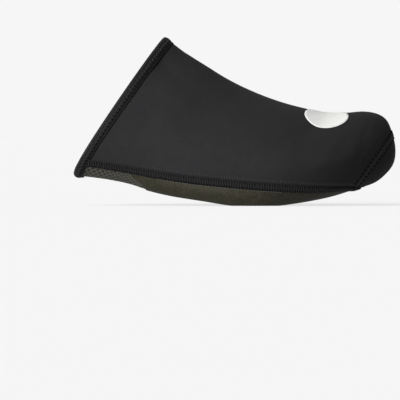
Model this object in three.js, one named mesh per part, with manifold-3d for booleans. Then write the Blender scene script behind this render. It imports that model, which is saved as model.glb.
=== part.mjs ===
// Cycling toe cover: a sewn neoprene sleeve that is pulled over the front half of a cycling shoe.
// It stands empty, in the form that it has on the shoe.
// Millimetres. +X points to the toe, +Z up, and the plane Y = 0 divides left from right.
// The origin is on the floor, under the middle of the cover's length.

import * as THREE from "three";
import { mergeVertices } from "three/addons/utils/BufferGeometryUtils.js";
import Module from "manifold-3d";

const wasm = await Module();
wasm.setup();

// Driving dimensions of the form
const coverLength = 190; // rear corner of the collar to the tip of the toe
const coverHeight = 100; // floor to the top corner of the collar
const ballWidth = 90; // across the ball of the foot, the widest place
const collarBow = 3.1; // how far the rear edge bulges out from a straight line

// The cloth
const neopreneWall = 2.5;
const soleWall = 2.2; // coated cloth of the sole, which is thinner than the upper
const strapInset = 0.5; // the dimpled arch strap lies this much lower than the sole
const sewnGap = 0.3; // between two pieces that are sewn edge to edge

// The folded hem of the collar
const hemWidth = 6;
const hemSwell = 0.45; // the fold stands this much proud of the wall on both faces

// Flatlock seams: a flat raised band of thread over each join
const flatlockWidth = 5.2;
const flatlockThickness = 0.7;

// Opening for the cleat, in the sole
const cleatOpeningLength = 58;
const cleatOpeningWidth = 46;
const cleatOpeningCorner = 15; // radius of its corners
const cleatOpeningFromToe = 52; // its front edge, behind the tip of the toe

const bindingWidth = 3.6; // the tape that is folded round the edge of the opening
const bindingSwell = 0.5; // how far it stands proud of the sole inside the cover

// Round reflective badge on the ridge of the toe
const badgeDiameter = 25.5;
const badgeThickness = 0.4;
const badgeGap = 0.4; // over the cloth that it bends round
const badgeFromToe = 40.3; // its centre, behind the tip of the toe
const badgeLean = 8.5; // how far its centre lies down the side from the ridge

// The form, one row for each section from the collar to the tip of the toe. A section lies in a plane
// across the cover, which leans from its point on the underside to its point on the ridge.
// soleX, ridgeX: shares of the cover's length, from the rear.
// soleZ, ridgeZ: shares of its height, from the floor. Below the floor the sole lies flat.
// breadth: share of the ball's width. widest: height of the widest point, as a share of the section.
// crown: how broad the ridge is, and tread: how broad the flat underside is, as shares of the breadth.
// flank: how far the side stays upright above the widest point, as a share of the height above it.
const [columns, ...rows] = [
  ["soleX", "soleZ", "ridgeX", "ridgeZ", "breadth", "widest", "crown", "flank", "tread"],
  [ 0.000,  0.172,  0.279,  1.000,  0.800,  0.340,  0.340,  0.470,  0.420],
  [ 0.052,  0.162,  0.331,  0.922,  0.820,  0.340,  0.340,  0.470,  0.450],
  [ 0.109,  0.147,  0.371,  0.872,  0.850,  0.340,  0.340,  0.470,  0.480],
  [ 0.172,  0.122,  0.415,  0.820,  0.880,  0.340,  0.330,  0.460,  0.530],
  [ 0.228,  0.088,  0.462,  0.764,  0.910,  0.340,  0.330,  0.450,  0.600],
  [ 0.303,  0.055,  0.515,  0.710,  0.945,  0.340,  0.320,  0.440,  0.660],
  [ 0.397,  0.027,  0.578,  0.657,  0.985,  0.340,  0.310,  0.420,  0.720],
  [ 0.494, -0.001,  0.644,  0.612,  1.000,  0.350,  0.280,  0.390,  0.760],
  [ 0.594, -0.006,  0.710,  0.578,  0.985,  0.360,  0.240,  0.365,  0.760],
  [ 0.694,  0.015,  0.777,  0.551,  0.925,  0.370,  0.200,  0.335,  0.710],
  [ 0.792,  0.050,  0.843,  0.549,  0.830,  0.390,  0.200,  0.350,  0.580],
  [ 0.873,  0.096,  0.900,  0.556,  0.705,  0.410,  0.270,  0.420,  0.400],
  [ 0.934,  0.134,  0.945,  0.541,  0.545,  0.430,  0.390,  0.480,  0.230],
  [ 0.973,  0.192,  0.975,  0.497,  0.370,  0.450,  0.490,  0.520,  0.100],
  [ 0.994,  0.250,  0.994,  0.400,  0.180,  0.480,  0.540,  0.550,  0.040],
  [ 1.000,  0.320,  1.000,  0.320,  0.000,  0.500,  0.550,  0.550,  0.000],
];
const sections = rows.map((row) => Object.fromEntries(columns.map((name, k) => [name, row[k]])));

// Seams as they run in the side view: shares of the length from the rear, and of the height.
const soleSeamLine = [
  { along: -0.02, up: 0.236 },
  { along: 0.05, up: 0.238 },
  { along: 0.164, up: 0.21 },
  { along: 0.267, up: 0.177 },
  { along: 0.37, up: 0.15 },
  { along: 0.476, up: 0.13 },
  { along: 0.58, up: 0.113 },
  { along: 0.69, up: 0.1 },
  { along: 0.77, up: 0.096 },
  { along: 0.842, up: 0.1 },
  { along: 0.886, up: 0.1 },
  { along: 0.93, up: 0.092 },
  { along: 0.99, up: 0.06 },
];
const toeSeamLine = { lowAlong: 0.862, lowUp: 0.083, highAlong: 1.0, highUp: 0.44 };
const strapSeamLine = { lowAlong: 0.243, lowUp: 0.05, highAlong: 0.158, highUp: 0.22 };

// How a section is drawn, from the ridge down to the middle of the underside
const flankAt = 0.5; // v of the widest point
const treadAt = 0.82; // v where the flat underside begins
const edgePull = 0.55; // roundness of the sole's edge
const bowSpread = 0.6; // under 1 spreads the collar's bulge towards its ends
const bowSink = 0.55; // under 1 brings the collar's bulge lower
const bowFade = 6; // how soon the bulge dies away ahead of the collar

// Fineness of the facets
const facets = {
  perSection: 3, // rings between two rows of the table
  overRidge: 8, // from the ridge to the widest point
  roundEdge: 5, // from the widest point to the flat underside
  overTread: 2, // over half of the flat underside
  seamStep: 4.5, // length of one facet along a seam
  cutSteps: 60, // steps of the sole seam where it cuts the form
  courseSteps: 400, // places looked up along a seam before it is divided evenly
  corner: 5, // steps in a corner of the cleat opening
  hemRound: 4, // steps round the hem's rear edge
  badgeSpokes: 28,
  badgeRounds: 4,
  weld: 0.01, // slivers thinner than this are closed up
};

const tiny = 1e-3;
const halvings = 40;
const reach = 2 * ballWidth; // longer than the cover is wide, for what cuts through it

// The smooth surface of the cover
// After the tip the form comes back on its other side, so that the tip is round.
const beforeTip = sections[sections.length - 2];
const beyondTip = {
  ...beforeTip,
  soleX: beforeTip.ridgeX,
  soleZ: beforeTip.ridgeZ,
  ridgeX: beforeTip.soleX,
  ridgeZ: beforeTip.soleZ,
  breadth: -beforeTip.breadth,
};

// A column of the table at u, which is 0 at the collar and 1 at the tip, on a smooth curve.
function column(name, u) {
  const last = sections.length - 1;
  const place = u * last;
  const i = THREE.MathUtils.clamp(Math.floor(place), 0, last - 1);
  const f = place - i;
  const a = sections[i][name];
  const b = sections[i + 1][name];
  const before = i > 0 ? sections[i - 1][name] : 2 * a - b;
  const after = (i < last - 1 ? sections[i + 2] : beyondTip)[name];
  const slopeA = (b - before) / 2;
  const slopeB = (after - a) / 2;
  const rise = b - a;
  return a + f * (slopeA + f * (3 * rise - 2 * slopeA - slopeB + f * (slopeA + slopeB - 2 * rise)));
}

// The last value between two limits, to a fine step, that still passes a test.
function lastThat(passes, from, to) {
  let good = from;
  let bad = to;
  for (let k = 0; k < halvings; k++) {
    const middle = (good + bad) / 2;
    if (passes(middle)) good = middle;
    else bad = middle;
  }
  return good;
}

function bezier(a, b, c, d, t) {
  const s = 1 - t;
  return s * s * s * a + 3 * s * s * t * b + 3 * s * t * t * c + t * t * t * d;
}

// Where a section stands: its lowest and highest point in the plane Y = 0.
function spine(u) {
  const x = (share) => (share - 0.5) * coverLength;
  return {
    low: new THREE.Vector2(x(column("soleX", u)), column("soleZ", u) * coverHeight),
    high: new THREE.Vector2(x(column("ridgeX", u)), column("ridgeZ", u) * coverHeight),
  };
}

// One half of a section at v: 0 at the ridge, 1 at the middle of the underside.
function halfSection(u, v) {
  const half = (ballWidth / 2) * column("breadth", u);
  const widest = column("widest", u);
  const tread = half * column("tread", u);
  const crown = half * column("crown", u);
  if (v <= flankAt) {
    const t = v / flankAt;
    const pulled = widest + column("flank", u) * (1 - widest);
    return { across: bezier(0, crown, half, half, t), rise: bezier(1, 1, pulled, widest, t) };
  }
  if (v <= treadAt) {
    const t = (v - flankAt) / (treadAt - flankAt);
    const pulled = tread + (1 - edgePull) * (half - tread);
    return {
      across: bezier(half, half, pulled, tread, t),
      rise: bezier(widest, widest * (1 - edgePull), 0, 0, t),
    };
  }
  return { across: (tread * (1 - v)) / (1 - treadAt), rise: 0 };
}

// A point of the smooth surface. v runs from -1 to 1, and its sign is the side.
function pointAt(u, v) {
  const { low, high } = spine(u);
  const { across, rise } = halfSection(u, Math.abs(v));
  const run = high.clone().sub(low);
  const bow = Math.max(Math.sin(Math.PI * rise ** bowSink), 0);
  const bulge = collarBow * (1 - u) ** bowFade * bow ** bowSpread;
  const back = new THREE.Vector2(-run.y, run.x).normalize().multiplyScalar(bulge);
  const x = low.x + rise * run.x + back.x;
  const z = low.y + rise * run.y + back.y;
  return new THREE.Vector3(x, Math.sign(v) * across, Math.max(z, 0));
}

function wrap(v) {
  return v > 1 ? v - 2 : v < -1 ? v + 2 : v;
}

// The two directions in the surface at (u, v).
function slopesAt(u, v) {
  const back = Math.max(u - tiny, 0);
  const ahead = Math.min(u + tiny, 1);
  const along = pointAt(ahead, v).sub(pointAt(back, v)).divideScalar(ahead - back);
  const around = pointAt(u, wrap(v + tiny)).sub(pointAt(u, wrap(v - tiny))).divideScalar(2 * tiny);
  return { along, around };
}

function normalAt(u, v) {
  if (u > 1 - tiny) return new THREE.Vector3(1, 0, 0);
  const { along, around } = slopesAt(u, v);
  return along.cross(around).normalize();
}

// A point at a distance outside the smooth surface, or inside it if out is negative.
function offsetPoint(u, v, out) {
  return pointAt(u, v).addScaledVector(normalAt(u, v), out);
}

// Solids from rings of points
// Joins rings that all have the same number of points. A ring may shrink to one point, as at the tip.
function loft(rings, closed) {
  const around = rings[0].length;
  const positions = rings.flat().flatMap((p) => [p.x, p.y, p.z]);
  const index = [];
  const steps = closed ? rings.length : rings.length - 1;
  for (let r = 0; r < steps; r++) {
    const next = (r + 1) % rings.length;
    for (let k = 0; k < around; k++) {
      const a = r * around + k;
      const b = r * around + ((k + 1) % around);
      const c = next * around + k;
      const d = next * around + ((k + 1) % around);
      index.push(a, d, b, a, c, d);
    }
  }
  if (!closed) {
    const end = (rings.length - 1) * around;
    for (let k = 1; k < around - 1; k++) {
      index.push(0, k, k + 1);
      index.push(end, end + k + 1, end + k);
    }
  }
  const geometry = new THREE.BufferGeometry();
  geometry.setAttribute("position", new THREE.Float32BufferAttribute(positions, 3));
  geometry.setIndex(index);
  return toSolid(geometry);
}

function toSolid(geometry) {
  const bare = geometry.clone();
  bare.deleteAttribute("normal");
  bare.deleteAttribute("uv");
  const merged = mergeVertices(bare, tiny / 10);
  const source = merged.index.array;
  const triVerts = [];
  for (let i = 0; i < source.length; i += 3) {
    const [a, b, c] = source.slice(i, i + 3);
    if (a !== b && b !== c && c !== a) triVerts.push(a, b, c);
  }
  return new wasm.Manifold(
    new wasm.Mesh({
      numProp: 3,
      vertProperties: merged.attributes.position.array,
      triVerts: new Uint32Array(triVerts),
    }),
  );
}

function toGeometry(solid) {
  const mesh = solid.simplify(facets.weld).getMesh();
  const geometry = new THREE.BufferGeometry();
  geometry.setAttribute("position", new THREE.Float32BufferAttribute(mesh.vertProperties, 3));
  geometry.setIndex(new THREE.Uint32BufferAttribute(mesh.triVerts, 1));
  geometry.computeVertexNormals();
  return geometry;
}

// The places round a section where a ring has its points.
function ringPlaces() {
  const half = [];
  const divide = (from, to, steps) => {
    for (let k = 0; k < steps; k++) half.push(from + ((to - from) * k) / steps);
  };
  divide(0, flankAt, facets.overRidge);
  divide(flankAt, treadAt, facets.roundEdge);
  divide(treadAt, 1, facets.overTread);
  const other = half.slice(1).map((v) => -v).reverse();
  return [...half, 1, ...other];
}

const places = ringPlaces();

function ring(u, out) {
  return places.map((v) => offsetPoint(u, v, out));
}

// u at a distance in millimetres from the collar's edge, halfway up its flank.
function fromCollar(distance) {
  return distance / slopesAt(tiny, flankAt).along.length();
}

// A shell of the form between two places along it. One that ends at 1 is closed by the tip.
function formShell(startU, endU, outer, inner) {
  const count = (sections.length - 1) * facets.perSection;
  const margin = 0.4 / count;
  const stations = [startU];
  for (let k = 0; k < count; k++) {
    const u = k / count;
    if (u > startU + margin && u < endU - margin) stations.push(u);
  }
  stations.push(endU);
  const outside = stations.map((u) => ring(u, outer));
  const inside = stations.map((u) => ring(u, inner)).reverse();
  return loft([...outside, ...inside], true);
}

// Cutters that run straight through from side to side, drawn in the side view
function throughSides(outline) {
  const shape = new THREE.Shape(outline);
  const geometry = new THREE.ExtrudeGeometry(shape, { depth: reach, bevelEnabled: false });
  geometry.rotateX(Math.PI / 2);
  geometry.translate(0, reach / 2, 0);
  return toSolid(geometry);
}

function inSideView({ along, up }) {
  return new THREE.Vector2((along - 0.5) * coverLength, up * coverHeight);
}

const soleSeam = new THREE.SplineCurve(soleSeamLine.map(inSideView));

// What lies below the sole seam, less a shift across the seam.
function belowSoleSeam(shift) {
  const edge = [];
  for (let k = 0; k <= facets.cutSteps; k++) {
    const t = k / facets.cutSteps;
    const across = soleSeam.getTangent(t);
    edge.push(soleSeam.getPoint(t).add(new THREE.Vector2(across.y, -across.x).multiplyScalar(shift)));
  }
  const first = edge[0];
  const last = edge[edge.length - 1];
  edge.push(new THREE.Vector2(last.x, -reach), new THREE.Vector2(first.x - reach, -reach));
  edge.push(new THREE.Vector2(first.x - reach, first.y));
  return throughSides(edge);
}

// What lies in front of a straight seam line, less a shift across it.
function aheadOf({ lowAlong, lowUp, highAlong, highUp }, shift) {
  const low = inSideView({ along: lowAlong, up: lowUp });
  const high = inSideView({ along: highAlong, up: highUp });
  const run = high.clone().sub(low).normalize();
  const ahead = new THREE.Vector2(run.y, -run.x);
  const from = low.clone().addScaledVector(run, -reach).addScaledVector(ahead, shift);
  const to = high.clone().addScaledVector(run, reach).addScaledVector(ahead, shift);
  const farTo = to.clone().addScaledVector(ahead, 2 * reach);
  const farFrom = from.clone().addScaledVector(ahead, 2 * reach);
  return throughSides([from, farFrom, farTo, to]);
}

// The prism that cuts the cleat opening, grown by a margin, from below the floor to inside the cover.
function cleatPrism(grow) {
  const front = coverLength / 2 - cleatOpeningFromToe + grow;
  const rear = front - cleatOpeningLength - 2 * grow;
  const half = cleatOpeningWidth / 2 + grow;
  const r = cleatOpeningCorner + grow;
  const shape = new THREE.Shape();
  shape.moveTo(rear + r, -half);
  shape.lineTo(front - r, -half);
  shape.absarc(front - r, -half + r, r, -Math.PI / 2, 0, false);
  shape.lineTo(front, half - r);
  shape.absarc(front - r, half - r, r, 0, Math.PI / 2, false);
  shape.lineTo(rear + r, half);
  shape.absarc(rear + r, half - r, r, Math.PI / 2, Math.PI, false);
  shape.lineTo(rear, -half + r);
  shape.absarc(rear + r, -half + r, r, Math.PI, 1.5 * Math.PI, false);
  const depth = coverHeight / 3;
  const geometry = new THREE.ExtrudeGeometry(shape, {
    depth,
    bevelEnabled: false,
    curveSegments: facets.corner,
  });
  geometry.translate(0, 0, -depth / 2);
  return toSolid(geometry);
}

// The upper, the toe panel, the sole and the arch strap are cut from shells of the one form.
const hemEndU = fromCollar(hemWidth);
const clothStartU = fromCollar(hemWidth + sewnGap);
const halfGap = sewnGap / 2;
const upperShell = formShell(clothStartU, 1, 0, -neopreneWall);
const soleShell = formShell(clothStartU, 1, 0, -soleWall);
const strapShell = formShell(clothStartU, 1, -strapInset, -strapInset - soleWall);

function makeUpper() {
  return upperShell.subtract(belowSoleSeam(-halfGap)).subtract(aheadOf(toeSeamLine, -halfGap));
}

function makeToePanel() {
  return upperShell.subtract(belowSoleSeam(-halfGap)).intersect(aheadOf(toeSeamLine, halfGap));
}

function makeSole() {
  return soleShell
    .intersect(belowSoleSeam(halfGap))
    .intersect(aheadOf(strapSeamLine, halfGap))
    .subtract(cleatPrism(bindingWidth + sewnGap));
}

function makeCleatBinding() {
  const shell = formShell(clothStartU, 1, 0, -soleWall - bindingSwell);
  return shell.intersect(cleatPrism(bindingWidth)).subtract(cleatPrism(0));
}

function makeArchStrap() {
  return strapShell.intersect(belowSoleSeam(halfGap)).subtract(aheadOf(strapSeamLine, -halfGap));
}

// The collar's hem is the cloth folded over: a ring, thicker than the wall, with a round rear edge.
function makeCollarHem() {
  const outer = hemSwell;
  const inner = -neopreneWall - hemSwell;
  const middle = (outer + inner) / 2;
  const radius = (outer - inner) / 2;
  const profile = [
    { u: hemEndU, out: outer },
    { u: hemEndU, out: inner },
  ];
  for (let k = 0; k <= facets.hemRound; k++) {
    const turn = (Math.PI * k) / facets.hemRound;
    const back = fromCollar(radius) * (1 - Math.sin(turn));
    profile.push({ u: back, out: middle - radius * Math.cos(turn) });
  }
  return loft(profile.map(({ u, out }) => ring(u, out)), true);
}

// The section whose plane holds a point of the side view, and how high on it the point lies.
function sectionThrough(target) {
  const liesBehind = (u) => {
    const { low, high } = spine(u);
    return high.clone().sub(low).cross(target.clone().sub(low)) < 0;
  };
  const u = lastThat(liesBehind, 0, 1 - tiny);
  const { low, high } = spine(u);
  const run = high.clone().sub(low);
  return { u, rise: target.clone().sub(low).dot(run) / run.lengthSq() };
}

function placeOfRise(u, rise) {
  return lastThat((v) => halfSection(u, v).rise > rise, 0, treadAt);
}

// The courses of the seams over the surface, as pairs (u, v) on one side, up to the middle plane.
function soleSeamCourse() {
  const course = [];
  let u = 0;
  for (let k = 0; k <= facets.courseSteps; k++) {
    const found = sectionThrough(soleSeam.getPoint(k / facets.courseSteps));
    if (found.rise <= 0) break;
    u = found.u;
    if (u > hemEndU) course.push({ u, v: placeOfRise(u, found.rise) });
  }
  course.push({ u, v: treadAt }, { u, v: 1 });
  return course;
}

function toeSeamCourse() {
  const low = inSideView({ along: toeSeamLine.lowAlong, up: toeSeamLine.lowUp });
  const high = inSideView({ along: toeSeamLine.highAlong, up: toeSeamLine.highUp });
  const course = [];
  for (let k = 0; k <= facets.courseSteps; k++) {
    const { u, rise } = sectionThrough(low.clone().lerp(high, k / facets.courseSteps));
    if (rise >= 1) break;
    if (rise > 0) course.push({ u, v: placeOfRise(u, rise) });
  }
  course.push({ u: course[course.length - 1].u, v: 0 });
  return course;
}

// A course carried on over the other side of the cover, with even steps along the surface.
function evenly(course) {
  const mirrored = course.slice(0, -1).reverse().map(({ u, v }) => ({ u, v: -v }));
  const whole = [...course, ...mirrored];
  const points = whole.map(({ u, v }) => pointAt(u, v));
  const travelled = [0];
  for (let k = 1; k < points.length; k++) {
    travelled.push(travelled[k - 1] + points[k].distanceTo(points[k - 1]));
  }
  const total = travelled[travelled.length - 1];
  const steps = 2 * Math.ceil(total / facets.seamStep / 2);
  const even = [];
  for (let k = 0, i = 1; k <= steps; k++) {
    const at = (total * k) / steps;
    while (i < travelled.length - 1 && travelled[i] < at) i++;
    const f = (at - travelled[i - 1]) / (travelled[i] - travelled[i - 1]);
    const a = whole[i - 1];
    const b = whole[i];
    const nearB = b.v - a.v > 1 ? b.v - 2 : b.v - a.v < -1 ? b.v + 2 : b.v;
    even.push({ u: THREE.MathUtils.lerp(a.u, b.u, f), v: wrap(THREE.MathUtils.lerp(a.v, nearB, f)) });
  }
  return even;
}

// The place on the surface that lies a small vector away from (u, v).
function moved({ u, v }, step) {
  const { along, around } = slopesAt(u, v);
  const aa = along.dot(along);
  const ab = along.dot(around);
  const bb = around.dot(around);
  const sa = step.dot(along);
  const sb = step.dot(around);
  const det = aa * bb - ab * ab;
  const du = (sa * bb - sb * ab) / det;
  const dv = (sb * aa - sa * ab) / det;
  return { u: THREE.MathUtils.clamp(u + du, 0, 1 - tiny), v: wrap(v + dv) };
}

// A flat band of thread along a course, a gap above the cloth. A margin grows it on every side.
function flatlock(course, margin) {
  const low = sewnGap - margin;
  const high = sewnGap + flatlockThickness + margin;
  const rings = course.map((place, k) => {
    const before = course[Math.max(k - 1, 0)];
    const after = course[Math.min(k + 1, course.length - 1)];
    const heading = pointAt(after.u, after.v).sub(pointAt(before.u, before.v)).normalize();
    const sideways = normalAt(place.u, place.v).cross(heading).multiplyScalar(flatlockWidth / 2 + margin);
    const left = moved(place, sideways);
    const right = moved(place, sideways.clone().negate());
    return [
      offsetPoint(left.u, left.v, low),
      offsetPoint(place.u, place.v, low),
      offsetPoint(right.u, right.v, low),
      offsetPoint(right.u, right.v, high),
      offsetPoint(place.u, place.v, high),
      offsetPoint(left.u, left.v, high),
    ];
  });
  return loft(rings, false);
}

function makeSoleSeam(margin) {
  const collarZone = formShell(0, clothStartU, hemSwell + bindingWidth, -bindingWidth);
  return flatlock(evenly(soleSeamCourse()), margin).subtract(collarZone);
}

function makeToeSeam() {
  return flatlock(evenly(toeSeamCourse()), 0).subtract(makeSoleSeam(sewnGap)).subtract(belowSoleSeam(0));
}

// v at a distance over the ridge, measured along the section at u. Its sign is the side.
function overRidge(u, distance) {
  const step = 2 * tiny;
  let v = 0;
  let gone = 0;
  while (gone < Math.abs(distance)) {
    gone += pointAt(u, v).distanceTo(pointAt(u, v + step));
    v += step;
  }
  return Math.sign(distance) * v;
}

// The badge: a thin disc that bends over the ridge.
function makeBadge() {
  const middle = coverLength / 2 - badgeFromToe;
  const circle = (radius, out) => {
    const points = [];
    for (let k = 0; k < facets.badgeSpokes; k++) {
      const turn = (2 * Math.PI * k) / facets.badgeSpokes;
      const x = middle + radius * Math.cos(turn);
      const u = lastThat((trial) => spine(trial).high.x < x, 0, 1);
      points.push(offsetPoint(u, overRidge(u, radius * Math.sin(turn) - badgeLean), out));
    }
    return points;
  };
  const radii = [];
  for (let k = 0; k <= facets.badgeRounds; k++) radii.push(((badgeDiameter / 2) * k) / facets.badgeRounds);
  const top = radii.map((radius) => circle(radius, badgeGap + badgeThickness));
  const bottom = radii.map((radius) => circle(radius, badgeGap)).reverse();
  return loft([...top, ...bottom], true);
}

// The parts with their materials
const finishes = {
  neoprene: { color: 0x2c2c2e, roughness: 0.86, metalness: 0 },
  coatedCloth: { color: 0x34322a, roughness: 0.8, metalness: 0 },
  dimpledCloth: { color: 0x45443d, roughness: 0.75, metalness: 0 },
  hemCloth: { color: 0x2f2e31, roughness: 0.8, metalness: 0 },
  thread: { color: 0x1c1c1e, roughness: 0.6, metalness: 0 },
  reflective: { color: 0xd6d6d2, roughness: 0.45, metalness: 0.1 },
};

const toeCover = new THREE.Group();

function addPart(name, solid, finish) {
  const mesh = new THREE.Mesh(toGeometry(solid), new THREE.MeshStandardMaterial(finishes[finish]));
  mesh.name = name;
  toeCover.add(mesh);
}

addPart("upper", makeUpper(), "neoprene");
addPart("toe_panel", makeToePanel(), "neoprene");
addPart("sole", makeSole(), "coatedCloth");
addPart("cleat_binding", makeCleatBinding(), "thread");
addPart("arch_strap", makeArchStrap(), "dimpledCloth");
addPart("collar_hem", makeCollarHem(), "hemCloth");
addPart("sole_seam", makeSoleSeam(0), "thread");
addPart("toe_seam", makeToeSeam(), "thread");
addPart("badge", makeBadge(), "reflective");

export default toeCover;
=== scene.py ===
"""Cycling toe cover: neoprene sleeve with flatlock seams, hemmed collar, grip strap and round badge.

The cover's form is one smooth surface. A place on it is (u, v): u runs from the collar, 0, to the tip of the
toe, 1. v runs from the ridge, 0, down either side to the middle of the underside, 1 or -1, and its sign is
the side. Each piece is a wall over its own patch of that surface. All lengths are in metres.
"""

import math

import bmesh
import bpy
import numpy as np
from bpy.props import FloatProperty, FloatVectorProperty, IntProperty, PointerProperty
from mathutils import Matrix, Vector


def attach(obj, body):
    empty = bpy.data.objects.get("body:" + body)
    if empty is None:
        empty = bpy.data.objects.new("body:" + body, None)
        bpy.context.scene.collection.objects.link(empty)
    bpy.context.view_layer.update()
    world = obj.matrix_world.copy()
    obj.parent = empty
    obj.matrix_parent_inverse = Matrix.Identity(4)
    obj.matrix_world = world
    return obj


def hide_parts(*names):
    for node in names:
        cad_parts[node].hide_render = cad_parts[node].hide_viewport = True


bl_info = {
    "name": "Cycling Toe Cover",
    "version": (1, 0, 0),
    "blender": (4, 5, 0),
    "location": "View3D > Sidebar > Toe Cover",
    "description": "Builds the cloth, seams and stitches of a cycling toe cover",
    "category": "Add Mesh",
}

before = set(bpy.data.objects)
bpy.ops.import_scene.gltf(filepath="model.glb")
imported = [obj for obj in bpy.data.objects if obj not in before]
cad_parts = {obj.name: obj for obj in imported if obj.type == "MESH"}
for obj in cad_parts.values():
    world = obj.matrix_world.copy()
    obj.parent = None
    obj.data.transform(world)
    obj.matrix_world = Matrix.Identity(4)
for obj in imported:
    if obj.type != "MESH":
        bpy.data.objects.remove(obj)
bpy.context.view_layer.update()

MM = 0.001


def srgb(code):
    """An sRGB hex colour as linear red, green and blue."""
    channels = [int(code[k : k + 2], 16) / 255 for k in (1, 3, 5)]
    return tuple(c / 12.92 if c <= 0.04045 else ((c + 0.055) / 1.055) ** 2.4 for c in channels)


# The form: one row for each section from the collar to the tip, in shares of the cover's sizes
COLUMNS = ("soleX", "soleZ", "ridgeX", "ridgeZ", "breadth", "widest", "crown", "flank", "tread")
SECTIONS = (
    (0.000, 0.172, 0.279, 1.000, 0.800, 0.34, 0.34, 0.47, 0.42),
    (0.052, 0.162, 0.331, 0.922, 0.820, 0.34, 0.34, 0.47, 0.45),
    (0.109, 0.147, 0.371, 0.872, 0.850, 0.34, 0.34, 0.47, 0.48),
    (0.172, 0.122, 0.415, 0.820, 0.880, 0.34, 0.33, 0.46, 0.53),
    (0.228, 0.088, 0.462, 0.764, 0.910, 0.34, 0.33, 0.45, 0.60),
    (0.303, 0.055, 0.515, 0.710, 0.945, 0.34, 0.32, 0.44, 0.66),
    (0.397, 0.027, 0.578, 0.657, 0.985, 0.34, 0.31, 0.42, 0.72),
    (0.494, -0.001, 0.644, 0.612, 1.000, 0.35, 0.28, 0.39, 0.76),
    (0.594, -0.006, 0.710, 0.578, 0.985, 0.36, 0.24, 0.365, 0.76),
    (0.694, 0.015, 0.777, 0.551, 0.925, 0.37, 0.20, 0.335, 0.71),
    (0.792, 0.050, 0.843, 0.549, 0.830, 0.39, 0.20, 0.35, 0.58),
    (0.873, 0.096, 0.900, 0.556, 0.705, 0.41, 0.27, 0.42, 0.40),
    (0.934, 0.134, 0.945, 0.541, 0.545, 0.43, 0.39, 0.48, 0.23),
    (0.973, 0.192, 0.975, 0.497, 0.370, 0.45, 0.49, 0.52, 0.10),
    (0.994, 0.250, 0.994, 0.400, 0.180, 0.48, 0.54, 0.55, 0.04),
    (1.000, 0.320, 1.000, 0.320, 0.000, 0.50, 0.55, 0.55, 0.00),
)
FLANK_AT = 0.5  # v of the widest point
TREAD_AT = 0.82  # v where the flat underside begins
EDGE_PULL = 0.55  # how far the curve under the widest point is pulled outwards
BOW_SPREAD = 0.6  # how evenly the rear edge's bulge spreads over its height
BOW_SINK = 0.55  # how low the bulge lies
BOW_FADE = 6  # how fast it fades ahead of the collar
STEP = 1e-3  # of u and v, for slopes
COURSE_POINTS = 400
HEM_OVERLAP = 0.0003  # the cloths end this far inside the fold of the hem
SHARP_ANGLE = 50  # degrees over which an edge is drawn sharp

# Seams in the side view: shares of the length from the rear, and of the height
SOLE_SEAM_LINE = (
    *((-0.020, 0.236), (0.050, 0.238), (0.164, 0.210), (0.267, 0.177), (0.370, 0.150)),
    *((0.476, 0.130), (0.580, 0.113), (0.690, 0.100), (0.770, 0.096), (0.842, 0.100)),
    *((0.886, 0.100), (0.930, 0.092), (0.990, 0.060)),
)
TOE_SEAM_LINE = ((0.862, 0.083), (1.000, 0.440))
STRAP_SEAM_LINE = ((0.243, 0.050), (0.158, 0.220))

# Soft ridges and troughs of the upper in the side view: place along and up as shares, direction in degrees,
# then length, width and rise in millimetres. A negative rise is a trough.
CREASES = (
    (0.30, 0.78, -38, 46, 9, -0.5),
    (0.36, 0.60, -30, 60, 12, 0.45),
    (0.22, 0.47, 58, 40, 9, -0.35),
    (0.50, 0.42, -12, 70, 14, 0.4),
    (0.62, 0.30, 6, 62, 10, -0.35),
    (0.72, 0.44, 24, 36, 8, -0.4),
    (0.80, 0.34, 52, 30, 6, 0.35),
    (0.885, 0.30, 60, 22, 3.4, -0.45),
    (0.862, 0.24, 58, 20, 3.0, 0.3),
    (0.90, 0.41, 66, 18, 3.2, -0.35),
    (0.40, 0.24, -4, 50, 7, -0.3),
)


def length_of(name, description, default):
    return FloatProperty(
        name=name, description=description, default=default, subtype="DISTANCE", unit="LENGTH"
    )


def colour_of(name, description, code):
    return FloatVectorProperty(
        name=name, description=description, default=srgb(code), subtype="COLOR", min=0, max=1
    )


class ToeCoverSizes(bpy.types.PropertyGroup):
    """Sizes of the cover, its cloth and its stitches."""

    length: length_of("Length", "Rear corner to tip of the toe", 0.190)
    height: length_of("Height", "Floor to the collar's top corner", 0.100)
    ball_width: length_of("Ball width", "Across the widest place", 0.090)
    collar_bow: length_of("Collar bow", "Bulge of the rear edge", 0.0031)
    wall: length_of("Neoprene", "Thickness of the upper's cloth", 0.0025)
    sole_wall: length_of("Sole cloth", "Thickness of the sole's cloth", 0.0022)
    strap_inset: length_of("Strap inset", "Depth of the grip strap below the sole's face", 0.0005)
    sewn_gap: length_of("Sewn gap", "Gap between pieces sewn edge to edge", 0.0003)
    hem_width: length_of("Hem width", "Width of the collar's folded hem", 0.006)
    hem_swell: length_of("Hem swell", "How far the hem stands proud", 0.00045)
    flatlock_width: length_of("Flatlock width", "Width of the seam bands", 0.0052)
    flatlock_rise: length_of("Flatlock rise", "Thickness of the seam bands", 0.0007)
    stitch_pitch: length_of("Stitch pitch", "Spacing of the flatlock's rungs", 0.0015)
    dimple_pitch: length_of("Dimple pitch", "Spacing of the grip strap's dimples", 0.0033)
    badge_diameter: length_of("Badge diameter", "Across the round badge", 0.0255)
    seed: IntProperty(name="Seed", description="Seed of the threads' small unevenness", default=7, min=0)


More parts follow.
